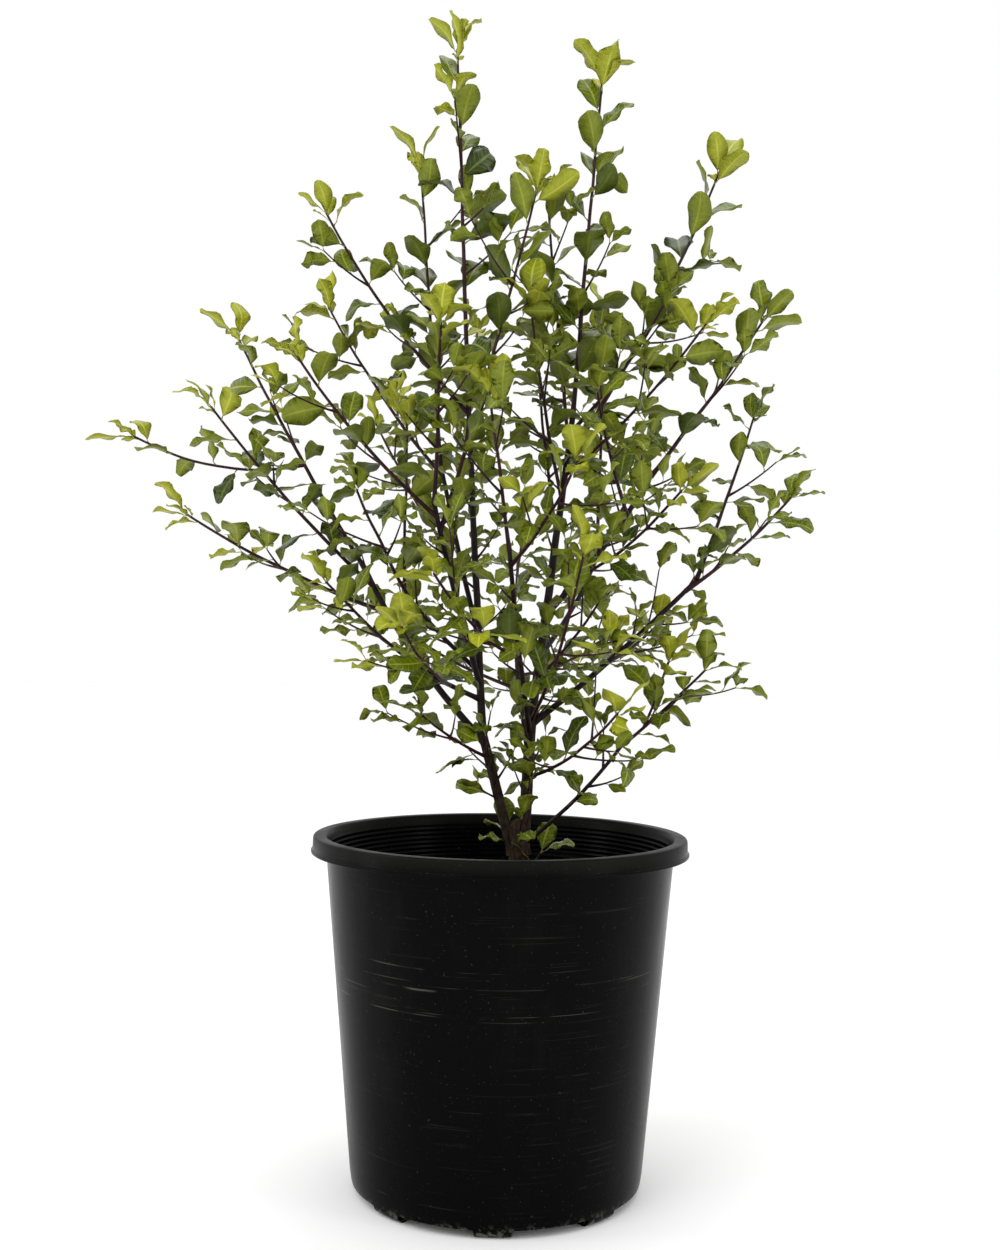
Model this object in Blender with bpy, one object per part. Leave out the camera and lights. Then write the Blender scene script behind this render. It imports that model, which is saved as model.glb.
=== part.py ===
"""Potted pittosporum: an open, many-stemmed young shrub in a round black nursery pot.

The origin is the middle of the pot's flat underside, +Z is up, and the photo is seen along +Y.
Sizes in the tables are millimetres, and everything that is built is in metres.
"""

import math
import random

import bmesh
import bpy
from mathutils import Matrix, Vector
from mathutils.bvhtree import BVHTree

MM = 0.001
GAP = 0.3 * MM

# The pot, turned about the Z axis
POT_HEIGHT = 304 * MM
POT_SIDES = 36
WALL = 2.3 * MM
FLOOR_THICKNESS = 3 * MM
FOOT_RADIUS = 118 * MM
BASE_RADIUS = 127 * MM
BASE_CORNER = 15 * MM
SHOULDER_RADIUS = 151.5 * MM
SHOULDER_HEIGHT = 288 * MM
COLLAR_RADIUS = 163.6 * MM
COLLAR_LIP = 1.4 * MM
COLLAR_DEPTH = 14.5 * MM
COLLAR_WALL = 2 * MM
MOUTH_RADIUS = 153 * MM

# Drain slots through the pot's lower corner
SLOTS = 8
SLOT_WIDTH = math.radians(31)
SLOT_HEIGHT = 7.5 * MM
SLOT_INNER_RADIUS = 107 * MM
SLOT_STEPS = 3
SLOT_TURN = math.radians(21.5)
CUTTER_OVERRUN = 1 * MM
CUTTER_RADIUS = BASE_RADIUS + 5 * MM

# The potting mix, level with the foot of the trunk
MIX_TOP = 250 * MM
MIX_SINK = 4 * MM
MIX_GAP = 0.4 * MM
MIX_FLAT_RADIUS = 40 * MM
MIX_SIDES = 18

# The trunk: height above the mix, half width and half depth, all in mm
TRUNK_FOOT = Vector((17.5, 0, 250.3)) * MM
TRUNK_FORK = Vector((15.5, 0, 311)) * MM
TRUNK_SIDES = 12
TRUNK_WIDTHS = (
    (0, 15, 14),
    (5, 12, 11.5),
    (14, 10, 9.8),
    (32, 9, 8.8),
    (48, 9.3, 8.4),
    (60.7, 11, 7.6),
)

# Stems and main boughs: what each one grows from, how far along it, its tip (right, back and up from the
# origin), how much wider than its line to the tip it sets out, and its radius at the root and the tip
BOUGHS = {
    "left_stem": ("trunk", 1.0, (-17, 0, 392), 0.05, 4.8, 4.0),
    "right_stem": ("trunk", 1.0, (26, 0, 409), 0.05, 5.7, 4.6),
    "bough_left_leader": ("left_stem", 1.0, (-34, 20, 688), 0.0, 3.7, 2.3),
    "bough_right_leader": ("right_stem", 1.0, (60, 30, 676), 0.05, 4.2, 2.6),
    "bough_left_outer": ("left_stem", 0.93, (-121, 0, 533), 0.3, 3.3, 2.3),
    "bough_left_low": ("bough_left_leader", 0.1, (-76, -50, 454), 0.1, 2.3, 1.8),
    "bough_left_middle": ("bough_left_leader", 0.18, (-80, -45, 508), 0.1, 2.1, 1.7),
    "bough_left_front": ("bough_left_leader", 0.14, (-59, -70, 587), 0.15, 2.7, 2.0),
    "bough_left_back": ("bough_left_leader", 0.28, (-59, 40, 634), 0.1, 2.4, 1.9),
    "bough_right_big": ("bough_right_leader", 0.33, (128, 0, 620), 0.2, 2.8, 2.1),
    "bough_right_long": ("right_stem", 0.93, (168, -10, 529), 0.1, 2.9, 2.0),
    "bough_right_low": ("trunk", 0.72, (103, -30, 385), 0.2, 2.0, 1.5),
    "bough_front": ("right_stem", 0.86, (4, -90, 547), 0.25, 2.5, 1.9),
    "bough_back_left": ("bough_left_leader", 0.2, (-55, 135, 560), 0.3, 2.6, 1.9),
    "bough_back_right": ("bough_right_leader", 0.2, (95, 130, 570), 0.3, 2.6, 1.9),
    "bough_back": ("right_stem", 0.7, (10, 150, 500), 0.3, 2.6, 1.9),
}

# Masses of foliage: the same, with the number of side twigs in place of the tip's radius
MASSES = {
    "leaves_left_leader": ("bough_left_leader", 1.0, (-48, 20, 996), 0.0, 2.2, 2),
    "leaves_right_leader": ("bough_right_leader", 1.0, (83, 40, 981), 0.0, 2.4, 2),
    "leaves_right_upper": ("bough_right_leader", 0.86, (189, 50, 900), 0.25, 2.2, 2),
    "leaves_right_inner": ("bough_right_leader", 0.95, (138, 0, 776), 0.3, 1.9, 2),
    "leaves_right_thin": ("bough_right_leader", 0.8, (161, -60, 736), 0.2, 1.6, 1),
    "leaves_centre_back": ("bough_right_leader", 0.9, (36, 60, 882), 0.1, 1.8, 3),
    "leaves_centre": ("bough_right_leader", 0.72, (21, -30, 758), 0.3, 1.8, 3),
    "leaves_centre_low": ("bough_right_leader", 0.6, (28, 85, 745), 0.3, 1.8, 3),
    "leaves_right_big": ("bough_right_big", 1.0, (221, 0, 753), 0.1, 2.0, 1),
    "leaves_right_middle": ("bough_right_big", 0.75, (75, -100, 672), 0.3, 1.8, 3),
    "leaves_right_front": ("bough_right_big", 0.3, (137, -110, 592), 0.2, 1.6, 2),
    "leaves_right_mid": ("bough_right_long", 1.0, (228, 70, 678), 0.1, 1.9, 1),
    "leaves_right_long": ("bough_right_long", 0.93, (240, -30, 595), 0.2, 1.8, 1),
    "leaves_right_under": ("bough_right_long", 0.45, (140, 60, 490), 0.2, 1.8, 3),
    "leaves_right_low": ("bough_right_low", 1.0, (166, -40, 445), 0.1, 1.5, 2),
    "leaves_front_low": ("right_stem", 0.55, (88, -110, 413), 0.3, 1.7, 3),
    "leaves_low_right": ("bough_right_leader", 0.12, (75, -50, 500), 0.2, 1.5, 3),
    "leaves_low_left": ("left_stem", 0.8, (-62, -35, 405), 0.2, 1.5, 1),
    "leaves_front_right": ("right_stem", 0.96, (59, -165, 535), 0.3, 1.8, 3),
    "leaves_front": ("bough_front", 1.0, (-13, -120, 665), 0.1, 1.8, 2),
    "leaves_front_side": ("bough_front", 0.93, (51, -165, 606), 0.3, 1.7, 2),
    "leaves_front_left": ("bough_front", 0.45, (-50, -165, 520), 0.3, 1.7, 3),
    "leaves_left_outer": ("bough_left_outer", 1.0, (-240, 30, 739), 0.1, 2.2, 1),
    "leaves_left_lower": ("bough_left_outer", 0.92, (-242, -60, 660), 0.15, 1.9, 1),
    "leaves_left_long": ("bough_left_outer", 0.78, (-266, -30, 575), 0.15, 1.9, 1),
    "leaves_left_low": ("bough_left_low", 1.0, (-140, -85, 514), 0.1, 1.7, 2),
    "leaves_left_pale": ("bough_left_low", 0.45, (-76, -170, 480), 0.2, 1.6, 2),
    "leaves_left_middle": ("bough_left_middle", 1.0, (-115, -125, 585), 0.1, 1.6, 1),
    "leaves_left_front": ("bough_left_front", 1.0, (-54, -110, 720), 0.0, 1.9, 3),
    "leaves_left_side": ("bough_left_front", 0.93, (-170, -80, 703), 0.2, 1.8, 2),
    "leaves_centre_front": ("bough_left_front", 0.86, (21, -40, 852), 0.15, 1.9, 3),
    "leaves_left_back": ("bough_left_back", 1.0, (-81, 50, 901), 0.0, 1.8, 3),
    "leaves_left_high": ("bough_left_back", 0.92, (-162, 75, 776), 0.2, 1.8, 2),
    "leaves_left_upper": ("bough_left_leader", 0.96, (-156, 0, 842), 0.25, 1.9, 2),
    "leaves_back_left": ("bough_back_left", 1.0, (-130, 215, 690), 0.1, 1.8, 3),
    "leaves_back_left_high": ("bough_back_left", 0.9, (-30, 160, 775), 0.2, 1.8, 3),
    "leaves_back_right": ("bough_back_right", 1.0, (150, 215, 670), 0.1, 1.8, 3),
    "leaves_back_right_high": ("bough_back_right", 0.9, (95, 150, 790), 0.2, 1.8, 3),
    "leaves_back": ("bough_back", 1.0, (20, 270, 610), 0.1, 1.8, 3),
    "leaves_back_low_left": ("bough_back", 0.5, (-120, 160, 500), 0.2, 1.8, 3),
    "leaves_back_low_right": ("bough_back", 0.6, (110, 190, 480), 0.2, 1.8, 3),
}

# A shoot that leaves the side of a mass's own stem and is fused to it
SIDE_SHOOTS = {
    "leaves_left_outer": (0.45, (-319, 0, 648), 0.6, 1.4),
    "leaves_left_middle": (0.1, (-86, -20, 652), 0.1, 1.4),
    "leaves_right_low": (0.25, (136, -60, 450), 0.1, 1.1),
}

# Which way from the middle of the fork each main stem stands
FORK_SIDES = {"left_stem": -1, "right_stem": 1}

# Leaves and twigs
LEAF_LENGTH = 47 * MM
LEAF_WIDTH = 0.66
LEAF_THICKNESS = 0.025
LEAF_ARCH = 0.09
LEAF_SPACING = 38 * MM
LEAF_TRIES = 5
TIP_LEAVES = 3
TWIG_TIP_LEAVES = 2
TIP_SHARE = 0.99
PETIOLE = 4 * MM
BARE_SHARE = 0.1
TWIG_BARE_SHARE = 0.3
FIRST_TWIG = 0.2
TWIGGY_SHARE = 0.62
TWIG_LENGTH = 58 * MM
TWIG_RADIUS = 1.1 * MM
TIP_RADIUS = 0.8 * MM
TWIG_STEPS = 2
TWIG_SIDES = 3
STEM_STEP = 50 * MM
BOUGH_STEP = 45 * MM
BOUGH_SIDES = 5
STEM_SIDES = 8
LEAF_CLEARANCE = 0.6 * MM
GOLDEN_ANGLE = math.radians(137.5)
LEAST_FORK = math.radians(14)
SEATING_STEPS = 5
SEATING_SHARE = 0.9
LEADER_ALLOWANCE = 40 * MM

# Ranges that the seeded rule draws from: degrees above square to the stem, and shares of the leaf length
LEAF_RISE = (12, 38)
TIP_RISE = (48, 66)
TWIG_RISE = (35, 55)
LEAF_ROLL = 28
LEAF_SIZES = (0.85, 1.1)
TIP_SIZES = (0.8, 0.95)
ROOT_DEPTH = 0.2
TRY_TURN = 0.37

UP = Vector((0, 0, 1))


# Materials

def make_material(name, colour, roughness):
    material = bpy.data.materials.new(name)
    material.use_nodes = True
    shader = material.node_tree.nodes["Principled BSDF"]
    shader.inputs["Base Color"].default_value = (*colour, 1)
    shader.inputs["Roughness"].default_value = roughness
    shader.inputs["Metallic"].default_value = 0
    return material


# Meshes and objects

def make_object(name, points, faces, material):
    mesh = bpy.data.meshes.new(name)
    mesh.from_pydata([tuple(point) for point in points], [], faces)
    mesh.materials.append(material)
    made = bpy.data.objects.new(name, mesh)
    bpy.context.scene.collection.objects.link(made)
    return made


def turned_object(name, profile, sides, material):
    """Spin a profile of (radius, height) about Z. Its first and last points lie on the axis."""
    mesh = bmesh.new()
    points = [mesh.verts.new((radius, 0, height)) for radius, height in profile]
    edges = [mesh.edges.new(pair) for pair in zip(points, points[1:])]
    bmesh.ops.spin(
        mesh,
        geom=points + edges,
        cent=(0, 0, 0),
        axis=(0, 0, 1),
        angle=2 * math.pi,
        steps=sides,
        use_merge=True,
    )
    bmesh.ops.remove_doubles(mesh, verts=mesh.verts, dist=0.01 * MM)
    bmesh.ops.recalc_face_normals(mesh, faces=mesh.faces)
    made = make_object(name, [], [], material)
    mesh.to_mesh(made.data)
    mesh.free()
    made.data.shade_smooth()
    made.data.set_sharp_from_angle(angle=math.radians(40))
    return made


# Curves

def bend(start, tip, spread, steps):
    """Points from start to tip on one curve that sets out wider than the straight line and turns up."""
    chord = tip - start
    heading = chord.normalized()
    elbow = start + 0.5 * chord.length * (heading + spread * (heading - UP)).normalized()
    points = []
    for step in range(steps + 1):
        t = step / steps
        points.append((1 - t) ** 2 * start + 2 * t * (1 - t) * elbow + t ** 2 * tip)
    return points


def tangent_at(points, index):
    before = points[max(index - 1, 0)]
    after = points[min(index + 1, len(points) - 1)]
    return (after - before).normalized()


class Limb:
    """A tapering limb: the points along its middle, its radii there, which way its root faces, its sides."""

    def __init__(self, points, radii, root_facing, sides):
        self.points = points
        self.radii = radii
        self.root_facing = root_facing
        self.sides = sides

    def at(self, share):
        """The point, the heading and the radius at a share of the limb's length."""
        place = share * (len(self.points) - 1)
        index = min(int(place), len(self.points) - 2)
        rest = place - index
        point = self.points[index].lerp(self.points[index + 1], rest)
        radius = self.radii[index] * (1 - rest) + self.radii[index + 1] * rest
        return point, (self.points[index + 1] - self.points[index]).normalized(), radius


def tapered(root, tip, count):
    return [root + (tip - root) * (index / (count - 1)) ** 0.8 for index in range(count)]


def grow_limb(parent, share, tip, spread, radii, step_length, sides, aside=Vector()):
    """A limb whose root lies a gap clear of its parent's tip, where share is 1, or else of its side."""
    point, along, parent_radius = parent.at(share)
    if share == 1.0:
        start = point + aside + along * GAP
        steps = max(3, round((tip - start).length / step_length))
        return Limb(bend(start, tip, spread, steps), tapered(*radii, steps + 1), along, sides)
    heading = (bend(point, tip, spread, 12)[1] - point).normalized()
    angle = max(along.angle(heading), LEAST_FORK)
    clear = parent_radius + GAP + radii[0] * max(math.cos(angle), 0)
    start = point + heading * clear / math.sin(angle)
    for _ in range(SEATING_STEPS):
        steps = max(3, round((tip - start).length / step_length))
        points = bend(start, tip, spread, steps)
        limb = Limb(points, tapered(*radii, steps + 1), tangent_at(points, 0), sides)
        start = start - heading * SEATING_SHARE * (stand_off(parent, limb) - GAP)
    return limb


def stand_off(parent, limb):
    """How far the rim of a limb's root stands clear of its parent's surface, carried on past its tip."""
    rim = tube(limb)[0][:limb.sides]
    rim += [(corner + beyond) / 2 for corner, beyond in zip(rim, rim[1:] + rim[:1])]
    tip, along, radius = parent.at(1.0)
    line = parent.points + [tip + along * LEADER_ALLOWANCE]
    surface = BVHTree.FromPolygons(*tube(Limb(line, parent.radii + [radius], parent.root_facing, parent.sides)))
    return min(surface.find_nearest(point)[3] for point in rim)


def tube(limb):
    """A closed tapering tube round a limb's line, as points and faces."""
    sides = limb.sides
    points = limb.points
    radii = limb.radii
    made_points = []
    faces = []
    across = tangent_at(points, 0).orthogonal().normalized()
    for index, point in enumerate(points):
        along = tangent_at(points, index) if index else limb.root_facing
        across = (across - along * across.dot(along)).normalized()
        beside = along.cross(across)
        for side in range(sides):
            turn = 2 * math.pi * side / sides
            made_points.append(point + radii[index] * (math.cos(turn) * across + math.sin(turn) * beside))
    for ring in range(len(points) - 1):
        for side in range(sides):
            here = ring * sides + side
            beyond = ring * sides + (side + 1) % sides
            faces.append((here, beyond, beyond + sides, here + sides))
    last = (len(points) - 1) * sides
    faces.append(tuple(range(sides - 1, -1, -1)))
    faces.append(tuple(range(last, last + sides)))
    return made_points, faces


# The pot and the potting mix

def wall_radius(height):
    """The outside of the pot's wall between its base and its collar."""
    slope = (SHOULDER_RADIUS - BASE_RADIUS) / (SHOULDER_HEIGHT - BASE_CORNER)
    return BASE_RADIUS + slope * (height - BASE_CORNER)


def make_pot(material):
    rim = POT_HEIGHT
    collar_foot = rim - COLLAR_DEPTH
    collar_inside = COLLAR_RADIUS - COLLAR_WALL
    profile = [
        (0, FLOOR_THICKNESS),
        (FOOT_RADIUS - WALL, FLOOR_THICKNESS),
        (wall_radius(BASE_CORNER) - WALL, BASE_CORNER),
        (wall_radius(rim - 5 * MM) - WALL, rim - 5 * MM),
        (MOUTH_RADIUS - 0.6 * MM, rim - 1 * MM),
        (MOUTH_RADIUS + 2 * MM, rim),
        (COLLAR_RADIUS - 3.5 * MM, rim),
        (COLLAR_RADIUS - 0.8 * MM, rim - 1.4 * MM),
        (COLLAR_RADIUS, collar_foot + 3 * MM),
        (COLLAR_RADIUS + COLLAR_LIP, collar_foot + 2 * MM),
        (COLLAR_RADIUS + COLLAR_LIP, collar_foot),
        (collar_inside, collar_foot),
        (collar_inside, rim - 3 * MM),
        (wall_radius(rim) + 1 * MM, rim - 3 * MM),
        (SHOULDER_RADIUS, SHOULDER_HEIGHT),
        (BASE_RADIUS, BASE_CORNER),
        (BASE_RADIUS - 1.7 * MM, 5 * MM),
        (BASE_RADIUS - 5 * MM, 1 * MM),
        (FOOT_RADIUS, 0),
        (0, 0),
    ]
    pot = turned_object("pot", profile, POT_SIDES, material)
    cutters = make_slot_cutters(material)
    cut = pot.modifiers.new("drain slots", "BOOLEAN")
    cut.operation = "DIFFERENCE"
    cut.solver = "EXACT"
    cut.object = cutters
    return pot


def make_slot_cutters(material):
    """Eight curved blocks, one in the middle of every eighth of the pot's lower corner."""
    points = []
    faces = []
    for slot in range(SLOTS):
        first = len(points)
        middle = -math.pi / 2 + SLOT_TURN + 2 * math.pi * slot / SLOTS
        for step in range(SLOT_STEPS + 1):
            turn = middle + SLOT_WIDTH * (step / SLOT_STEPS - 0.5)
            for radius, height in (
                (SLOT_INNER_RADIUS, -CUTTER_OVERRUN),
                (CUTTER_RADIUS, -CUTTER_OVERRUN),
                (CUTTER_RADIUS, SLOT_HEIGHT),
                (SLOT_INNER_RADIUS, SLOT_HEIGHT),
            ):
                points.append((radius * math.cos(turn), radius * math.sin(turn), height))
        for step in range(SLOT_STEPS):
            near = first + 4 * step
            for side in range(4):
                beside = (side + 1) % 4
                faces.append((near + side, near + 4 + side, near + 4 + beside, near + beside))
        last = first + 4 * SLOT_STEPS
        faces.append((first, first + 1, first + 2, first + 3))
        faces.append((last + 3, last + 2, last + 1, last))
    cutters = make_object("slot_cutters", points, faces, material)
    cutters.hide_render = True
    cutters.display_type = "WIRE"
    return cutters


def make_potting_mix(material):
    gap = MIX_GAP
    profile = [
        (0, MIX_TOP),
        (MIX_FLAT_RADIUS, MIX_TOP),
        (wall_radius(MIX_TOP) - WALL - 18 * MM, MIX_TOP - 0.4 * MIX_SINK),
        (wall_radius(MIX_TOP - MIX_SINK) - WALL - gap, MIX_TOP - MIX_SINK),
        (wall_radius(BASE_CORNER) - WALL - gap, BASE_CORNER),
        (FOOT_RADIUS - WALL - gap, FLOOR_THICKNESS + gap),
        (0, FLOOR_THICKNESS + gap),
    ]
    return turned_object("potting_mix", profile, MIX_SIDES, material)


# Trunk, stems and boughs

def make_trunk(material):
    points = []
    height = TRUNK_FORK.z - TRUNK_FOOT.z
    for rise, half_width, half_depth in TRUNK_WIDTHS:
        centre = TRUNK_FOOT.lerp(TRUNK_FORK, rise * MM / height)
        for side in range(TRUNK_SIDES):
            turn = 2 * math.pi * side / TRUNK_SIDES
            across = Vector((half_width * math.cos(turn), half_depth * math.sin(turn), 0))
            points.append(centre + across * MM)
    faces = [tuple(range(TRUNK_SIDES - 1, -1, -1))]
    for ring in range(len(TRUNK_WIDTHS) - 1):
        for side in range(TRUNK_SIDES):
            here = ring * TRUNK_SIDES + side
            beyond = ring * TRUNK_SIDES + (side + 1) % TRUNK_SIDES
            faces.append((here, beyond, beyond + TRUNK_SIDES, here + TRUNK_SIDES))
    last = (len(TRUNK_WIDTHS) - 1) * TRUNK_SIDES
    faces.append(tuple(range(last, last + TRUNK_SIDES)))
    trunk = make_object("trunk", points, faces, material)
    trunk.data.shade_smooth()
    return trunk


def trunk_limb():
    height = TRUNK_FORK.z - TRUNK_FOOT.z
    points = [TRUNK_FOOT.lerp(TRUNK_FORK, rise * MM / height) for rise, _, _ in TRUNK_WIDTHS]
    radii = [half_width * MM for _, half_width, _ in TRUNK_WIDTHS]
    return Limb(points, radii, UP, TRUNK_SIDES)


def bough_limb(name, limbs):
    parent, share, tip, spread, root_radius, tip_radius = BOUGHS[name]
    aside = Vector()
    if name in FORK_SIDES:
        aside.x = FORK_SIDES[name] * (TRUNK_WIDTHS[-1][1] - root_radius) * MM
    radii = (root_radius * MM, tip_radius * MM)
    sides = STEM_SIDES if name in FORK_SIDES else BOUGH_SIDES
    return grow_limb(limbs[parent], share, Vector(tip) * MM, spread, radii, BOUGH_STEP, sides, aside)


# Foliage

def leaf_solid(base, heading, normal, length):
    """An arched leaf of eight faces: five points round its outline and one under its middle."""
    beside = normal.cross(heading).normalized()
    normal = heading.cross(beside).normalized()
    half = 0.5 * LEAF_WIDTH * length
    arch = LEAF_ARCH * length
    outline = (
        (0, 0, 0),
        (0.58 * length, -half, arch),
        (length, -0.4 * half, -0.6 * arch),
        (length, 0.4 * half, -0.6 * arch),
        (0.58 * length, half, arch),
        (0.55 * length, 0, 0.94 * arch - LEAF_THICKNESS * length),
    )
    points = [base + heading * along + beside * across + normal * lift for along, across, lift in outline]
    faces = [(0, 1, 4), (1, 2, 3), (1, 3, 4)]
    faces += [(5, (corner + 1) % 5, corner) for corner in range(5)]
    return points, faces


def leaf_pose(along, number, rise, roll, turn):
    """Heading and face direction of a leaf on a stem: leaves stand round it by the golden angle."""
    across = along.cross(UP)
    if across.length < 0.05:
        across = Vector((1, 0, 0))
    across.normalize()
    out = Matrix.Rotation(number * GOLDEN_ANGLE + turn, 3, along) @ across
    heading = (out * math.cos(rise) + along * math.sin(rise)).normalized()
    if rise < math.radians(50):
        heading.z *= 0.6
        heading.normalize()
    level = UP - heading * UP.dot(heading)
    if level.length < 0.2:
        level = out - heading * out.dot(heading)
    return heading, Matrix.Rotation(roll, 3, heading) @ level.normalized()


class Taken:
    """Solids that hold their space, by the node that they belong to."""

    def __init__(self):
        self.trees = []

    def add(self, name, points, faces):
        self.trees.append((name, BVHTree.FromPolygons(points, faces)))

    def touches(self, points, faces, own_name=None):
        """Whether a new solid comes within the clearance of one that another node owns."""
        middle = sum(points, Vector()) / len(points)
        shapes = [[point + (point - middle).normalized() * LEAF_CLEARANCE for point in points]]
        shapes += [[point + UP * lift for point in points] for lift in (LEAF_CLEARANCE, -LEAF_CLEARANCE)]
        for shape in shapes:
            tree = BVHTree.FromPolygons(shape, faces)
            if any(name != own_name and tree.overlap(other) for name, other in self.trees):
                return True
        return False


def grow_leaves(name, shoot, first, tip_leaves, draw, taken, blades):
    """Leaves along one shoot, from the share first to its tip, as a list of solids."""
    leaves = []
    length = sum((b - a).length for a, b in zip(shoot.points, shoot.points[1:]))
    count = max(1, round(length * (1 - first) / LEAF_SPACING))
    turn = draw.uniform(0, 2 * math.pi)
    places = [(first + (1 - first) * (index + 0.3) / count, False) for index in range(count)]
    places += [(TIP_SHARE, True)] * tip_leaves
    for number, (share, at_tip) in enumerate(places):
        point, along, radius = shoot.at(share)
        for attempt in range(LEAF_TRIES):
            rise = math.radians(draw.uniform(*(TIP_RISE if at_tip else LEAF_RISE)))
            roll = math.radians(draw.uniform(-LEAF_ROLL, LEAF_ROLL))
            size = LEAF_LENGTH * draw.uniform(*(TIP_SIZES if at_tip else LEAF_SIZES))
            heading, normal = leaf_pose(along, number + attempt * TRY_TURN, rise, roll, turn)
            leaf = leaf_solid(point - heading * ROOT_DEPTH * radius, heading, normal, size)
            blade = leaf_solid(point + heading * (radius + PETIOLE), heading, normal, size - PETIOLE)
            if not taken.touches(*leaf, name) and not blades.touches(*blade):
                blades.add(name, *blade)
                leaves.append(leaf)
                break
    return leaves


def grow_twig(name, stem, share, number, draw, taken):
    """A short side twig that leaves a stem and turns up, or None where there is no room for it."""
    point, along, radius = stem.at(share)
    length = TWIG_LENGTH * draw.uniform(0.75, 1.15)
    for attempt in range(LEAF_TRIES):
        rise = math.radians(draw.uniform(*TWIG_RISE))
        heading = leaf_pose(along, number + attempt * TRY_TURN, rise, 0, 0)[0]
        line = bend(point, point + heading * length, 0.2, TWIG_STEPS)
        radii = tapered(min(TWIG_RADIUS, 0.75 * radius), 0.7 * TIP_RADIUS, TWIG_STEPS + 1)
        twig = Limb(line, radii, tangent_at(line, 0), TWIG_SIDES)
        if not taken.touches(*tube(twig), name):
            return twig
    return None


def grow_stem(name, limbs):
    parent, share, tip, spread, root_radius, _ = MASSES[name]
    radii = (root_radius * MM, TIP_RADIUS)
    return grow_limb(limbs[parent], share, Vector(tip) * MM, spread, radii, STEM_STEP, TWIG_SIDES)


def grow_mass(name, stem, taken):
    """One mass: its stem, its side twigs and their leaves, as a list of solids that meet."""
    draw = random.Random(name)
    shoots = [stem]
    if name in SIDE_SHOOTS:
        share, tip, spread, root_radius = SIDE_SHOOTS[name]
        line = bend(stem.at(share)[0], Vector(tip) * MM, spread, 5)
        radii = tapered(root_radius * MM, TIP_RADIUS, len(line))
        shoots.append(Limb(line, radii, tangent_at(line, 0), TWIG_SIDES))
    twigs = MASSES[name][-1]
    for number in range(twigs):
        share = FIRST_TWIG + TWIGGY_SHARE * (number + 0.5) / twigs
        twig = grow_twig(name, stem, share, number, draw, taken)
        if twig:
            shoots.append(twig)
    solids = [tube(shoot) for shoot in shoots]
    blades = Taken()
    for shoot in shoots:
        long_shoot = len(shoot.points) > TWIG_STEPS + 1
        first = BARE_SHARE if long_shoot else TWIG_BARE_SHARE
        tip_leaves = TIP_LEAVES if long_shoot else TWIG_TIP_LEAVES
        solids += grow_leaves(name, shoot, first, tip_leaves, draw, taken, blades)
    return solids


def join_mass(name, solids, material):
    """Fuse a stem with its twigs and leaves by one union, and keep its one closed body."""
    mass = make_object(name, *solids[0], material)
    pieces = bpy.data.collections.new(name + " pieces")
    bpy.context.scene.collection.children.link(pieces)
    for number, solid in enumerate(solids[1:]):
        piece = make_object(f"{name} piece {number}", *solid, material)
        bpy.context.scene.collection.objects.unlink(piece)
        pieces.objects.link(piece)
    union = mass.modifiers.new("union", "BOOLEAN")
    union.operation = "UNION"
    union.operand_type = "COLLECTION"
    union.collection = pieces
    union.solver = "EXACT"
    bpy.context.view_layer.update()
    graph = bpy.context.evaluated_depsgraph_get()
    joined = bpy.data.meshes.new_from_object(mass.evaluated_get(graph))
    mass.modifiers.clear()
    mass.data = joined
    for piece in list(pieces.objects):
        bpy.data.objects.remove(piece, do_unlink=True)
    bpy.data.collections.remove(pieces)
    keep_one_body(joined)
    joined.name = name
    return mass


def keep_one_body(data):
    """Drop every loose scrap and every sealed hollow, and keep the largest body."""
    mesh = bmesh.new()
    mesh.from_mesh(data)
    bmesh.ops.triangulate(mesh, faces=mesh.faces)
    unseen = set(mesh.verts)
    bodies = []
    while unseen:
        found = {unseen.pop()}
        edge_of_search = list(found)
        while edge_of_search:
            vertex = edge_of_search.pop()
            for edge in vertex.link_edges:
                other = edge.other_vert(vertex)
                if other in unseen:
                    unseen.remove(other)
                    found.add(other)
                    edge_of_search.append(other)
        bodies.append(found)
    largest = max(bodies, key=len)
    scrap = [vertex for body in bodies if body is not largest for vertex in body]
    bmesh.ops.delete(mesh, geom=scrap, context="VERTS")
    mesh.to_mesh(data)
    mesh.free()


def main():
    for old in list(bpy.data.objects):
        bpy.data.objects.remove(old, do_unlink=True)
    plastic = make_material("black polypropylene", (0.008, 0.008, 0.010), 0.32)
    mix = make_material("bark potting mix", (0.045, 0.028, 0.017), 0.95)
    bark = make_material("brown bark", (0.040, 0.024, 0.018), 0.8)
    twig_bark = make_material("dark shoot bark", (0.022, 0.009, 0.012), 0.55)
    green = make_material("glossy green leaves", (0.090, 0.190, 0.022), 0.35)
    make_pot(plastic)
    make_potting_mix(mix)
    trunk = make_trunk(bark)
    taken = Taken()
    corners = [vertex.co.copy() for vertex in trunk.data.vertices]
    taken.add("trunk", corners, [tuple(face.vertices) for face in trunk.data.polygons])
    limbs = {"trunk": trunk_limb()}
    for name in BOUGHS:
        limbs[name] = bough_limb(name, limbs)
        solid = tube(limbs[name])
        bough = make_object(name, *solid, bark if name in FORK_SIDES else twig_bark)
        bough.data.shade_smooth()
        taken.add(name, *solid)
    stems = {name: grow_stem(name, limbs) for name in MASSES}
    for name, stem in stems.items():
        taken.add(name, *tube(stem))
    for name, stem in stems.items():
        solids = grow_mass(name, stem, taken)
        for solid in solids:
            taken.add(name, *solid)
        join_mass(name, solids, green)


main()
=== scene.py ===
"""The finished look of a potted pittosporum: leaves, shoots, bark and a glossy black nursery pot.

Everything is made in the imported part's frame, in metres: the origin is the middle of the pot's flat
underside, +Z is up, and the photo looks along +Y.
"""

import math
import random

import bmesh
import bpy
from mathutils import Euler, Matrix, Vector, noise


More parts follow.
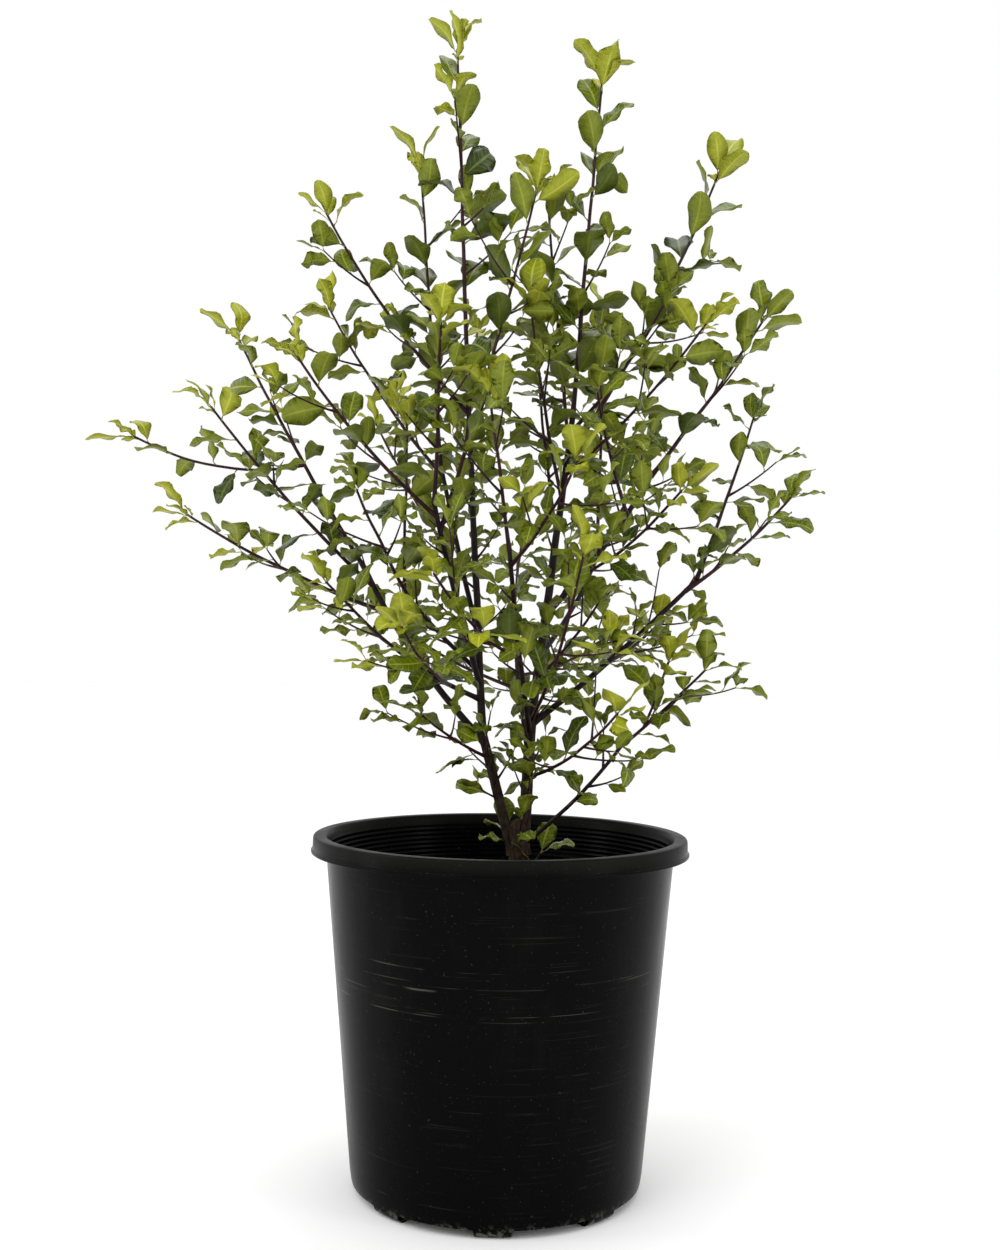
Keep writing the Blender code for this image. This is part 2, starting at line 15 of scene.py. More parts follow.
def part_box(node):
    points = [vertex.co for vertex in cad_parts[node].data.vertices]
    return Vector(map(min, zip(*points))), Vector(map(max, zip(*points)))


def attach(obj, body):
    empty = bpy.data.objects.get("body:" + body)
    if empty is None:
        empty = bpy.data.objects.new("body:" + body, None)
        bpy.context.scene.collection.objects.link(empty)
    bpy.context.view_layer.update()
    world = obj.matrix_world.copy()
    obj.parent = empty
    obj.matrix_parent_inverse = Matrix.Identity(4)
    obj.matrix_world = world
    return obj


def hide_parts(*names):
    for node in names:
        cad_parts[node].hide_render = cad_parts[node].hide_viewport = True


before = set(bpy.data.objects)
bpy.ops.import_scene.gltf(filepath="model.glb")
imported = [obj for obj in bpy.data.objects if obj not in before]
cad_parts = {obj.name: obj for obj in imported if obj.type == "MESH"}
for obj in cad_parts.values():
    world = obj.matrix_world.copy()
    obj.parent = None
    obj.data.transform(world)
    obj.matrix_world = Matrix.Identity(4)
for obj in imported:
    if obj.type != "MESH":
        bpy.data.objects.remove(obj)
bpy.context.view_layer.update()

MM = 0.001
UP = Vector((0, 0, 1))
GOLDEN_ANGLE = math.radians(137.5)

# The wobble of the limbs is drawn from this seed, so every run grows the same plant
WOBBLE_SEED = 11
noise.seed_set(WOBBLE_SEED)

# The photo: 1000 by 1250, its focal length in pixels, and where the lens stood
PHOTO_HEIGHT = 1250
FOCAL_LENGTH = 1454
SENSOR = 36
LENS_PLACE = Vector((-0.0029, -1.279, 0.469))
LENS_PITCH = math.radians(0.83)
LENS_ROLL = math.radians(0.8)

# Limbs grow as in the source. Each has its parent, the share along it where it leaves, its tip (right, back
# and up from the origin, in mm), how much wider than its line to the tip it sets out, and its radius at root
# and tip in mm.
BOUGHS = {
    "left_stem": ("trunk", 1.0, (-17, 0, 392), 0.05, 4.8, 4.0),
    "right_stem": ("trunk", 1.0, (26, 0, 409), 0.05, 5.7, 4.6),
    "bough_left_leader": ("left_stem", 1.0, (-34, 20, 688), 0.0, 3.7, 2.3),
    "bough_right_leader": ("right_stem", 1.0, (60, 30, 676), 0.05, 4.2, 2.6),
    "bough_left_outer": ("left_stem", 0.93, (-121, 0, 533), 0.3, 3.3, 2.3),
    "bough_left_low": ("bough_left_leader", 0.1, (-76, -50, 454), 0.1, 2.3, 1.8),
    "bough_left_middle": ("bough_left_leader", 0.18, (-80, -45, 508), 0.1, 2.1, 1.7),
    "bough_left_front": ("bough_left_leader", 0.14, (-59, -70, 587), 0.15, 2.7, 2.0),
    "bough_left_back": ("bough_left_leader", 0.28, (-59, 40, 634), 0.1, 2.4, 1.9),
    "bough_right_big": ("bough_right_leader", 0.33, (128, 0, 620), 0.2, 2.8, 2.1),
    "bough_right_long": ("right_stem", 0.93, (168, -10, 529), 0.1, 2.9, 2.0),
    "bough_right_low": ("trunk", 0.72, (103, -30, 385), 0.2, 2.0, 1.5),
    "bough_front": ("right_stem", 0.86, (4, -90, 547), 0.25, 2.5, 1.9),
    "bough_back_left": ("bough_left_leader", 0.2, (-55, 135, 560), 0.3, 2.6, 1.9),
    "bough_back_right": ("bough_right_leader", 0.2, (95, 130, 570), 0.3, 2.6, 1.9),
    "bough_back": ("right_stem", 0.7, (10, 150, 500), 0.3, 2.6, 1.9),
}

# Main shoots of the masses of foliage: the same, with the number of side twigs in place of the tip's radius
MASSES = {
    "leaves_left_leader": ("bough_left_leader", 1.0, (-48, 20, 996), 0.0, 2.2, 2),
    "leaves_right_leader": ("bough_right_leader", 1.0, (83, 40, 981), 0.0, 2.4, 2),
    "leaves_right_upper": ("bough_right_leader", 0.86, (189, 50, 900), 0.25, 2.2, 2),
    "leaves_right_inner": ("bough_right_leader", 0.95, (138, 0, 776), 0.3, 1.9, 2),
    "leaves_right_thin": ("bough_right_leader", 0.8, (161, -60, 736), 0.2, 1.6, 1),
    "leaves_centre_back": ("bough_right_leader", 0.9, (36, 60, 882), 0.1, 1.8, 3),
    "leaves_centre": ("bough_right_leader", 0.72, (21, -30, 758), 0.3, 1.8, 3),
    "leaves_centre_low": ("bough_right_leader", 0.6, (28, 85, 745), 0.3, 1.8, 3),
    "leaves_right_big": ("bough_right_big", 1.0, (221, 0, 753), 0.1, 2.0, 1),
    "leaves_right_middle": ("bough_right_big", 0.75, (75, -100, 672), 0.3, 1.8, 3),
    "leaves_right_front": ("bough_right_big", 0.3, (137, -110, 592), 0.2, 1.6, 2),
    "leaves_right_mid": ("bough_right_long", 1.0, (228, 70, 678), 0.1, 1.9, 1),
    "leaves_right_long": ("bough_right_long", 0.93, (240, -30, 595), 0.2, 1.8, 1),
    "leaves_right_under": ("bough_right_long", 0.45, (140, 60, 490), 0.2, 1.8, 3),
    "leaves_right_low": ("bough_right_low", 1.0, (166, -40, 445), 0.1, 1.5, 2),
    "leaves_front_low": ("right_stem", 0.55, (88, -110, 413), 0.3, 1.7, 3),
    "leaves_low_right": ("bough_right_leader", 0.12, (75, -50, 500), 0.2, 1.5, 3),
    "leaves_low_left": ("left_stem", 0.8, (-62, -35, 405), 0.2, 1.5, 1),
    "leaves_front_right": ("right_stem", 0.96, (59, -165, 535), 0.3, 1.8, 3),
    "leaves_front": ("bough_front", 1.0, (-13, -120, 665), 0.1, 1.8, 2),
    "leaves_front_side": ("bough_front", 0.93, (51, -165, 606), 0.3, 1.7, 2),
    "leaves_front_left": ("bough_front", 0.45, (-50, -165, 520), 0.3, 1.7, 3),
    "leaves_left_outer": ("bough_left_outer", 1.0, (-240, 30, 739), 0.1, 2.2, 1),
    "leaves_left_lower": ("bough_left_outer", 0.92, (-242, -60, 660), 0.15, 1.9, 1),
    "leaves_left_long": ("bough_left_outer", 0.78, (-266, -30, 575), 0.15, 1.9, 1),
    "leaves_left_low": ("bough_left_low", 1.0, (-140, -85, 514), 0.1, 1.7, 2),
    "leaves_left_pale": ("bough_left_low", 0.45, (-76, -170, 480), 0.2, 1.6, 2),
    "leaves_left_middle": ("bough_left_middle", 1.0, (-115, -125, 585), 0.1, 1.6, 1),
    "leaves_left_front": ("bough_left_front", 1.0, (-54, -110, 720), 0.0, 1.9, 3),
    "leaves_left_side": ("bough_left_front", 0.93, (-170, -80, 703), 0.2, 1.8, 2),
    "leaves_centre_front": ("bough_left_front", 0.86, (21, -40, 852), 0.15, 1.9, 3),
    "leaves_left_back": ("bough_left_back", 1.0, (-81, 50, 901), 0.0, 1.8, 3),
    "leaves_left_high": ("bough_left_back", 0.92, (-162, 75, 776), 0.2, 1.8, 2),
    "leaves_left_upper": ("bough_left_leader", 0.96, (-156, 0, 842), 0.25, 1.9, 2),
    "leaves_back_left": ("bough_back_left", 1.0, (-130, 215, 690), 0.1, 1.8, 3),
    "leaves_back_left_high": ("bough_back_left", 0.9, (-30, 160, 775), 0.2, 1.8, 3),
    "leaves_back_right": ("bough_back_right", 1.0, (150, 215, 670), 0.1, 1.8, 3),
    "leaves_back_right_high": ("bough_back_right", 0.9, (95, 150, 790), 0.2, 1.8, 3),
    "leaves_back": ("bough_back", 1.0, (20, 270, 610), 0.1, 1.8, 3),
    "leaves_back_low_left": ("bough_back", 0.5, (-120, 160, 500), 0.2, 1.8, 3),
    "leaves_back_low_right": ("bough_back", 0.6, (110, 190, 480), 0.2, 1.8, 3),
}

# A second shoot that leaves a main shoot's side
SIDE_SHOOTS = {
    "leaves_left_outer": (0.45, (-319, 0, 648), 0.6, 1.4),
    "leaves_left_middle": (0.1, (-86, -20, 652), 0.1, 1.4),
    "leaves_right_low": (0.25, (136, -60, 450), 0.1, 1.1),
}
FORK_SIDES = {"left_stem": -1, "right_stem": 1}
FORK_SPREAD = 4 * MM
FORK_SINK = 24 * MM
OLD_WOOD = ("trunk", *FORK_SIDES)

# The trunk: height above the potting mix, half width and half depth, in mm
TRUNK_FOOT = Vector((17.5, 0, 250.3)) * MM
TRUNK_FORK = Vector((15.5, 0, 311)) * MM
TRUNK_WIDTHS = ((0, 15, 14), (5, 12, 11.5), (14, 10, 9.8), (32, 9, 8.8), (48, 9.3, 8.4), (60.7, 11, 7.6))

# Shoots and twigs: lengths, radii, how far apart they stand, and the shares of a limb that bear them
SHOOT_STEP = 9 * MM
SHOOT_TIP = 1.0 * MM
TWIG_TIP = 0.6 * MM
TIP_REACH = 9 * MM
TWIG_LENGTH = 58 * MM
TWIG_RADIUS = 1.05 * MM
SPUR_LENGTH = 30 * MM
SPUR_SPACING = 27 * MM
STEM_SPUR_SPACING = 13 * MM
SPURS_ON_SHOOT = 1
TWIG_SHARES = (0.2, 0.82)
SPUR_SHARES = (0.15, 0.7)
BOUGH_SPUR_SHARES = (0.27, 0.97)
TWIG_RISE = (35, 55)
TWIG_SPREAD = 0.2
SUNNY_SHOOTS = 0.75
SUNNY_TWIGS = 0.3
WOBBLE = 1.6 * MM
COLLAR_SWELL = 0.35
COLLAR_LENGTH = 5 * MM
RIDGE_STRETCH = (1, 1, 0.3)

# Leaves: lengths and spacings are the real plant's, and angles are in degrees
LEAF_LENGTH = 37 * MM
LEAF_SPACING = 20 * MM
LEAF_SIZES = (0.76, 1.08)
TWIG_LEAF_SIZES = (0.66, 0.94)
SPUR_LEAF_SIZES = (0.54, 0.88)
VIGOROUS_SIZES = (0.98, 1.22)
SIDE_RISE = (0, 26)
RISE_TO_TIP = 24
VIGOROUS_RISE = 16
USUAL_ROLL = 18
STRAY_ROLL = (-75, 75)
USUAL_SHARE = 0.85
TIP_ROLL = (-25, 25)
VIGOROUS = (
    "leaves_left_leader",
    "leaves_right_leader",
    "leaves_right_upper",
    "leaves_left_back",
    "leaves_centre_front",
    "leaves_centre_back",
)
PETIOLE = 3.5 * MM
PETIOLE_RADIUS = 0.55 * MM
PETIOLE_TAPER = (1.35, 1, 0.9, 0.6)
TIP_LEAVES = 4
TIP_RISE = (46, 68)
TIP_SIZES = (1.0, 0.9, 0.75, 0.45)

# A leaf's outline and how it waves, arches, hooks, twists and folds, as shares of its length
LEAF_SHAPES = 20
FLAT_SHAPES = 8
FLAT_LEAF_SIZE = 0.95
LEAF_ROWS = (0, 0.05, 0.13, 0.23, 0.34, 0.45, 0.56, 0.67, 0.78, 0.88, 0.96, 1)
LEAF_BROADEST = 0.55
LEAF_FULLNESS = (0.8, 0.52)
LEAF_HALF_WIDTHS = (0.25, 0.33)
LEAF_WAVES = (1.4, 2.1)
FLAT_WAVES, DEEP_WAVES = (0.03, 0.065), (0.055, 0.115)
FLAT_HOOK, DEEP_HOOK = (-0.12, 0.2), (-0.15, 0.36)
LEAF_ARCH = (-0.03, 0.13)
LEAF_TWIST = (-0.5, 0.5)
LEAF_FOLD = (0.0, 0.28)
LEAF_SWAY = (-0.06, 0.06)
LEAF_SWELL = 0.08
LEAF_THICKNESS = 0.012


# Colours and shader nodes

def linear(code):
    """An sRGB hex colour as linear red, green, blue and a full alpha."""
    channels = [int(code[place:place + 2], 16) / 255 for place in (1, 3, 5)]
    return (*(c / 12.92 if c <= 0.04045 else ((c + 0.055) / 1.055) ** 2.4 for c in channels), 1)


def add(tree, kind, inputs=None, **settings):
    """Add a node, set its settings, and set or link its inputs by name or number."""
    made = tree.nodes.new(kind)
    for setting, value in settings.items():
        setattr(made, setting, value)
    for key, value in (inputs or {}).items():
        if isinstance(value, bpy.types.NodeSocket):
            tree.links.new(value, made.inputs[key])
        else:
            made.inputs[key].default_value = value
    return made


def arithmetic(tree, operation, *values):
    return add(tree, "ShaderNodeMath", dict(enumerate(values)), operation=operation).outputs[0]


def mixed(tree, share, first, second):
    """A colour part way from the first to the second."""
    return add(tree, "ShaderNodeMix", {0: share, 6: first, 7: second}, data_type="RGBA").outputs[2]


def ranged(tree, value, low, high, to_low, to_high):
    """A value carried smoothly from one range to another and held at its ends."""
    inputs = {"Value": value, "From Min": low, "From Max": high, "To Min": to_low, "To Max": to_high}
    return add(tree, "ShaderNodeMapRange", inputs, interpolation_type="SMOOTHSTEP").outputs[0]


def own_place(tree, scale=(1, 1, 1)):
    """The piece's own coordinates in metres, stretched."""
    coordinates = add(tree, "ShaderNodeTexCoord").outputs["Object"]
    return add(tree, "ShaderNodeMapping", {"Vector": coordinates, "Scale": scale}).outputs[0]


def mottling(tree, place, size, detail=3.0, roughness=0.55):
    """Soft noise whose patches are about the given size across."""
    inputs = {"Vector": place, "Scale": 1 / size, "Detail": detail, "Roughness": roughness}
    return add(tree, "ShaderNodeTexNoise", inputs).outputs[0]


def own_value(tree, name, output="Fac"):
    return add(tree, "ShaderNodeAttribute", attribute_name=name).outputs[output]


def relief(tree, shader, height, distance, strength=1.0):
    inputs = {"Height": height, "Distance": distance, "Strength": strength}
    tree.links.new(add(tree, "ShaderNodeBump", inputs).outputs[0], shader.inputs["Normal"])


def new_material(name, roughness, ior=1.5):
    material = bpy.data.materials.new(name)
    material.use_nodes = True
    tree = material.node_tree
    shader = tree.nodes["Principled BSDF"]
    shader.inputs["Roughness"].default_value = roughness
    shader.inputs["IOR"].default_value = ior
    return material, tree, shader


# Materials

def leaf_material(name, blade, deep, vein, underside, roughness):
    """Waxy pittosporum leaf: glossy above, with a pale midrib and side veins, paler and duller below."""
    material, tree, shader = new_material(name, roughness, 1.45)
    shader.inputs["Specular IOR Level"].default_value = 0.25
    place = add(tree, "ShaderNodeSeparateXYZ", {0: own_value(tree, "place", "Vector")})
    across, along = place.outputs[0], place.outputs[1]
    under = own_value(tree, "under")
    aside = arithmetic(tree, "ABSOLUTE", across)
    midrib = ranged(tree, aside, 0.03, 0.13, 1.0, 0.0)
    slant = arithmetic(tree, "MULTIPLY_ADD", aside, -1.1, arithmetic(tree, "MULTIPLY", along, 6.5))
    ripple = arithmetic(tree, "SINE", arithmetic(tree, "MULTIPLY", slant, math.pi))
    ripple = arithmetic(tree, "ABSOLUTE", ripple)
    side_veins = ranged(tree, ripple, 0.0, 0.36, 0.55, 0.0)
    veins = arithmetic(tree, "MAXIMUM", midrib, side_veins)
    patches = mottling(tree, own_place(tree), 9 * MM)
    patches = arithmetic(tree, "MULTIPLY", patches, 0.4)
    tone = arithmetic(tree, "MULTIPLY_ADD", own_value(tree, "tone"), 0.75, patches)
    upper = mixed(tree, tone, linear(blade), linear(deep))
    upper = mixed(tree, arithmetic(tree, "MULTIPLY", veins, 0.75), upper, linear(vein))
    lower = mixed(tree, arithmetic(tree, "MULTIPLY", veins, 0.5), linear(underside), linear(vein))
    tree.links.new(mixed(tree, under, upper, lower), shader.inputs["Base Color"])
    tree.links.new(ranged(tree, under, 0, 1, roughness, roughness + 0.2), shader.inputs["Roughness"])
    relief(tree, shader, arithmetic(tree, "MULTIPLY", veins, -1.0), 0.25 * MM, 0.8)
    return material


def bark_material(name, ridge, furrow, grain, roughness, depth, dust=None):
    """Bark: ridges and furrows drawn out along the limb, with dusty patches where it is old."""
    material, tree, shader = new_material(name, roughness)
    shader.inputs["Specular IOR Level"].default_value = 0.2
    furrows = mottling(tree, own_place(tree, RIDGE_STRETCH), grain, 5.0, 0.65)
    colour = mixed(tree, ranged(tree, furrows, 0.36, 0.62, 0, 1), linear(furrow), linear(ridge))
    if dust:
        patches = ranged(tree, mottling(tree, own_place(tree), 14 * MM), 0.5, 0.7, 0, 0.6)
        colour = mixed(tree, patches, colour, linear(dust))
    tree.links.new(colour, shader.inputs["Base Color"])
    rough = ranged(tree, furrows, 0.3, 0.7, roughness + 0.15, roughness - 0.1)
    tree.links.new(rough, shader.inputs["Roughness"])
    relief(tree, shader, furrows, depth)
    return material


def pot_material():
    """Black moulded polypropylene: satin gloss, with fine turned scratches, rub marks and a film of dust."""
    material, tree, shader = new_material("black moulded polypropylene", 0.24, 1.49)
    shader.inputs["Specular IOR Level"].default_value = 0.04
    place = add(tree, "ShaderNodeTexCoord").outputs["Object"]
    height = add(tree, "ShaderNodeSeparateXYZ", {0: place}).outputs[2]
    film = mottling(tree, own_place(tree, (1, 1, 0.35)), 60 * MM, 6.0, 0.7)
    specks = ranged(tree, mottling(tree, place, 2.2 * MM, 2.0), 0.69, 0.75, 0, 1)
    rubbed = mottling(tree, own_place(tree, (6, 6, 700)), 1.0, 2.0, 0.5)
    patchy = mottling(tree, own_place(tree, (1, 1, 3)), 42 * MM, 2.0)
    belt = arithmetic(
        tree,
        "MAXIMUM",
        arithmetic(tree, "COMPARE", height, SCRATCH_BELT, SCRATCH_BELT_HALF),
        arithmetic(tree, "COMPARE", height, LOWER_BELT, LOWER_BELT_HALF),
    )
    rubbed = ranged(tree, rubbed, 0.6, 0.68, 0, 1)
    scratches = arithmetic(tree, "MULTIPLY", rubbed, ranged(tree, patchy, 0.46, 0.6, 0, 1))
    scratches = arithmetic(tree, "MULTIPLY", scratches, arithmetic(tree, "MULTIPLY_ADD", belt, 0.17, 0.03))
    foot = ranged(tree, height, 0.0, 14 * MM, 1, 0)
    chafed = ranged(tree, mottling(tree, place, 6 * MM, 4.0), 0.5, 0.62, 0, 0.4)
    scuffs = arithmetic(tree, "MULTIPLY", foot, chafed)
    top = ranged(tree, height, POT_HEIGHT - 16 * MM, POT_HEIGHT - 1 * MM, 0, 0.2)
    dust = arithmetic(tree, "ADD", ranged(tree, film, 0.5, 0.8, 0, 0.1), top)
    colour = mixed(tree, dust, linear("#020202"), linear("#2c2c2a"))
    colour = mixed(tree, arithmetic(tree, "MULTIPLY", specks, 0.1), colour, linear("#8b8a84"))
    colour = mixed(tree, arithmetic(tree, "MAXIMUM", scratches, scuffs), colour, linear("#84847f"))
    tree.links.new(colour, shader.inputs["Base Color"])
    rough = arithmetic(tree, "MULTIPLY_ADD", dust, 0.7, ranged(tree, film, 0.3, 0.7, 0.2, 0.3))
    rough = arithmetic(tree, "MULTIPLY_ADD", scratches, 0.3, rough)
    tree.links.new(rough, shader.inputs["Roughness"])
    skin = mottling(tree, own_place(tree, (1, 1, 0.25)), 9 * MM, 2.0)
    relief(tree, shader, arithmetic(tree, "MULTIPLY_ADD", scratches, -0.4, skin), 0.12 * MM, 0.6)
    return material


def mix_material(name, dark, light, roughness):
    """Composted bark: dark, crumbly and matt."""
    material, tree, shader = new_material(name, roughness)
    crumbs = mottling(tree, own_place(tree), 3 * MM, 6.0, 0.7)
    half_crumbs = arithmetic(tree, "MULTIPLY", crumbs, 0.5)
    tone = arithmetic(tree, "MULTIPLY_ADD", own_value(tree, "tone"), 0.6, half_crumbs)
    tree.links.new(mixed(tree, tone, linear(dark), linear(light)), shader.inputs["Base Color"])
    relief(tree, shader, crumbs, 0.8 * MM)
    return material


# Shapes that are dealt out many times

def leaf_shape(number):
    """A closed wavy leaf one unit long, from its stalk along +Y, with its upper face to +Z."""
    draw = random.Random(1000 + number)
    half = draw.uniform(*LEAF_HALF_WIDTHS)
    flat = number < FLAT_SHAPES
    waves = draw.uniform(*LEAF_WAVES)
    depths = [draw.uniform(*(FLAT_WAVES if flat else DEEP_WAVES)) for _ in range(2)]
    phases = [draw.uniform(0, 2 * math.pi) for _ in range(2)]
    arch = draw.uniform(*LEAF_ARCH)
    hook = draw.uniform(*(FLAT_HOOK if flat else DEEP_HOOK))
    twist = draw.uniform(*LEAF_TWIST)
    fold = draw.uniform(*LEAF_FOLD)
    sway = draw.uniform(*LEAF_SWAY)
    skew = math.log(0.5) / math.log(LEAF_BROADEST)
    points, place, rings = [], [], []
    for along in LEAF_ROWS:
        width = half * max(0, math.sin(math.pi * along ** skew)) ** LEAF_FULLNESS[along > LEAF_BROADEST]
        rise = arch * math.sin(math.pi * along) - hook * along ** 3
        ahead = along - 0.3 * abs(hook) * along ** 4
        middle = Vector((sway * math.sin(math.pi * along), ahead, rise))
        if along in (0, 1):
            rings.append([len(points)] * 6)
            points.append(middle)
            place.append((0, along))
            continue
        turned_row = Matrix.Rotation(twist * (along - 0.3), 3, "Y")
        ring = []
        for across in (-1, -0.5, 0, 0.5, 1):
            side = 0 if across < 0 else 1
            wave = depths[side] * math.sin(2 * math.pi * waves * along + phases[side]) * min(1, 3 * along)
            lift = abs(across) * (fold * width + wave) + (LEAF_SWELL * width if abs(across) == 0.5 else 0)
            ring.append(len(points))
            points.append(middle + turned_row @ Vector((across * width, 0, lift)))
            place.append((across, along))
        ring.append(len(points))
        points.append(middle + turned_row @ Vector((0, 0, -LEAF_THICKNESS)))
        place.append((0, along))
        rings.append(ring)
    faces, under = [], []
    for near, far in zip(rings, rings[1:]):
        for left, right, below in ((0, 1, 0), (1, 2, 0), (2, 3, 0), (3, 4, 0), (5, 0, 1), (4, 5, 1)):
            corners = [near[left], near[right], far[right], far[left]]
            face = [corner for place_in, corner in enumerate(corners) if corner not in corners[:place_in]]
            faces.append(face)
            under.append(below)
    made = bpy.data.meshes.new(f"leaf {number:02d}")
    made.from_pydata(points, [], faces)
    made.attributes.new("place", "FLOAT_VECTOR", "POINT")
    flat_places = [value for across, along in place for value in (across, along, 0)]
    made.attributes["place"].data.foreach_set("vector", flat_places)
    made.attributes.new("under", "FLOAT", "FACE")
    made.attributes["under"].data.foreach_set("value", [float(value) for value in under])
    made.shade_smooth()
    return made


def chip_shape(number):
    """A split piece of bark, one unit long."""
    draw = random.Random(2000 + number)
    size = Vector((1, draw.uniform(0.3, 0.6), draw.uniform(0.1, 0.25))) / 2
    mesh = bmesh.new()
    for _ in range(10):
        corner = Vector([draw.choice((-1, 1)) * draw.uniform(0.6, 1) * reach for reach in size])
        mesh.verts.new(corner)
    bmesh.ops.convex_hull(mesh, input=mesh.verts)
    loose = [vertex for vertex in mesh.verts if not vertex.link_faces]
    bmesh.ops.delete(mesh, geom=loose, context="VERTS")
    made = bpy.data.meshes.new(f"chip {number:02d}")
    mesh.to_mesh(made)
    mesh.free()
    return made


def shape_collection(name, meshes):
    shapes = bpy.data.collections.new(name)
    for mesh in meshes:
        shapes.objects.link(bpy.data.objects.new(mesh.name, mesh))
    return shapes


# Geometry trees

def new_tree(name, sockets):
    tree = bpy.data.node_groups.new(name, "GeometryNodeTree")
    tree.interface.new_socket("Geometry", in_out="INPUT", socket_type="NodeSocketGeometry")
    tree.interface.new_socket("Geometry", in_out="OUTPUT", socket_type="NodeSocketGeometry")
    for label, kind in sockets:
        tree.interface.new_socket(label, in_out="INPUT", socket_type="NodeSocket" + kind)
    return tree, add(tree, "NodeGroupInput").outputs


def stored(tree, name, kind):
    return add(tree, "GeometryNodeInputNamedAttribute", {"Name": name}, data_type=kind).outputs[0]


def finished(tree, geometry, material):
    """End a tree: real geometry, one material, and its output."""
    real = add(tree, "GeometryNodeRealizeInstances", {0: geometry}).outputs[0]
    painted = add(tree, "GeometryNodeSetMaterial", {"Geometry": real, "Material": material}).outputs[0]
    add(tree, "NodeGroupOutput", {0: painted})
    return tree


def dealing_tree():
    """Put one of a collection's shapes at every point, by the point's own turn, size and shape number."""
    sockets = (("Shapes", "Collection"), ("Length", "Float"), ("Material", "Material"))
    tree, given = new_tree("dealt shapes", sockets)
    shapes = add(
        tree,
        "GeometryNodeCollectionInfo",
        {"Collection": given["Shapes"], "Separate Children": True, "Reset Children": True},
    ).outputs[0]
    size = arithmetic(tree, "MULTIPLY", stored(tree, "size", "FLOAT"), given["Length"])
    inputs = {
        "Points": given["Geometry"],
        "Instance": shapes,
        "Pick Instance": True,
        "Instance Index": stored(tree, "shape", "INT"),
        "Rotation": stored(tree, "turn", "QUATERNION"),
        "Scale": size,
    }
    return finished(tree, add(tree, "GeometryNodeInstanceOnPoints", inputs).outputs[0], given["Material"])


def limb_tree():
    """Turn lines into round limbs by their own thickness, with ridges that run along them."""
    sockets = (
        ("Step", "Float"),
        ("Sides", "Int"),
        ("Ridge height", "Float"),
        ("Ridge width", "Float"),
        ("Material", "Material"),
    )
    tree, given = new_tree("round limbs", sockets)
    lines = add(tree, "GeometryNodeMeshToCurve", {0: given["Geometry"]}).outputs[0]
    inputs = {"Curve": lines, "Length": given["Step"]}
    lines = add(tree, "GeometryNodeResampleCurve", inputs, mode="LENGTH").outputs[0]
    inputs = {"Resolution": given["Sides"], "Radius": 1.0}
    ring = add(tree, "GeometryNodeCurvePrimitiveCircle", inputs).outputs[0]
    thickness = stored(tree, "thickness", "FLOAT")
    inputs = {"Curve": lines, "Profile Curve": ring, "Scale": thickness, "Fill Caps": True}
    limbs = add(tree, "GeometryNodeCurveToMesh", inputs).outputs[0]
    place = add(tree, "GeometryNodeInputPosition").outputs[0]
    inputs = {0: place, 1: RIDGE_STRETCH}
    stretched = add(tree, "ShaderNodeVectorMath", inputs, operation="MULTIPLY").outputs[0]
    fineness = arithmetic(tree, "DIVIDE", 1.0, given["Ridge width"])
    inputs = {"Vector": stretched, "Scale": fineness, "Detail": 4.0}
    ridges = add(tree, "ShaderNodeTexNoise", inputs).outputs[0]
    raised = arithmetic(tree, "MULTIPLY", arithmetic(tree, "SUBTRACT", ridges, 0.5), given["Ridge height"])
    inputs = {0: add(tree, "GeometryNodeInputNormal").outputs[0], "Scale": raised}
    outward = add(tree, "ShaderNodeVectorMath", inputs, operation="SCALE").outputs[0]
    limbs = add(tree, "GeometryNodeSetPosition", {"Geometry": limbs, "Offset": outward}).outputs[0]
    limbs = add(tree, "GeometryNodeSetShadeSmooth", {0: limbs}).outputs[0]
    return finished(tree, limbs, given["Material"])


def grown(name, mesh, tree, settings):
    """Run a tree on a mesh of points or lines, and keep what it makes as a plain mesh."""
    made = bpy.data.objects.new(name, mesh)
    bpy.context.scene.collection.objects.link(made)
    modifier = made.modifiers.new(tree.name, "NODES")
    modifier.node_group = tree
    for socket in tree.interface.items_tree:
        if socket.in_out == "INPUT" and socket.name in settings:
            modifier[socket.identifier] = settings[socket.name]
    return plain(made)


def plain(made):
    """Put an object's finished mesh in place of its modifiers."""
    bpy.context.view_layer.update()
    graph = bpy.context.evaluated_depsgraph_get()
    finished_shape = made.evaluated_get(graph)
    mesh = bpy.data.meshes.new_from_object(finished_shape, preserve_all_data_layers=True, depsgraph=graph)
    made.modifiers.clear()
    made.data = mesh
    mesh.name = made.name
    return made


def placed(made, slot, *nodes):
    """Hang a finished piece on the part's one body and hide the nodes that it stands for. Its slot is not
    used.
    """
    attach(made, "root")
    if nodes:
        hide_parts(*nodes)
    return made


# Limbs

class Limb:
    """A tapering limb: the points along its middle and its radii there."""

    def __init__(self, points, radii):
        self.points = points
        self.radii = radii

    def at(self, share):
        """The point, the heading and the radius at a share of the limb's length."""
        place = share * (len(self.points) - 1)
        index = min(int(place), len(self.points) - 2)
        rest = place - index
        point = self.points[index].lerp(self.points[index + 1], rest)
        radius = self.radii[index] * (1 - rest) + self.radii[index + 1] * rest
        return point, (self.points[index + 1] - self.points[index]).normalized(), radius

    def length(self):
        return sum((beyond - here).length for here, beyond in zip(self.points, self.points[1:]))


def bend(start, tip, spread, steps):
    """Points from start to tip on one curve that sets out wider than the straight line and turns up."""
    chord = tip - start
    heading = chord.normalized()
    elbow = start + 0.5 * chord.length * (heading + spread * (heading - UP)).normalized()
    shares = [step / steps for step in range(steps + 1)]
    return [(1 - t) ** 2 * start + 2 * t * (1 - t) * elbow + t ** 2 * tip for t in shares]


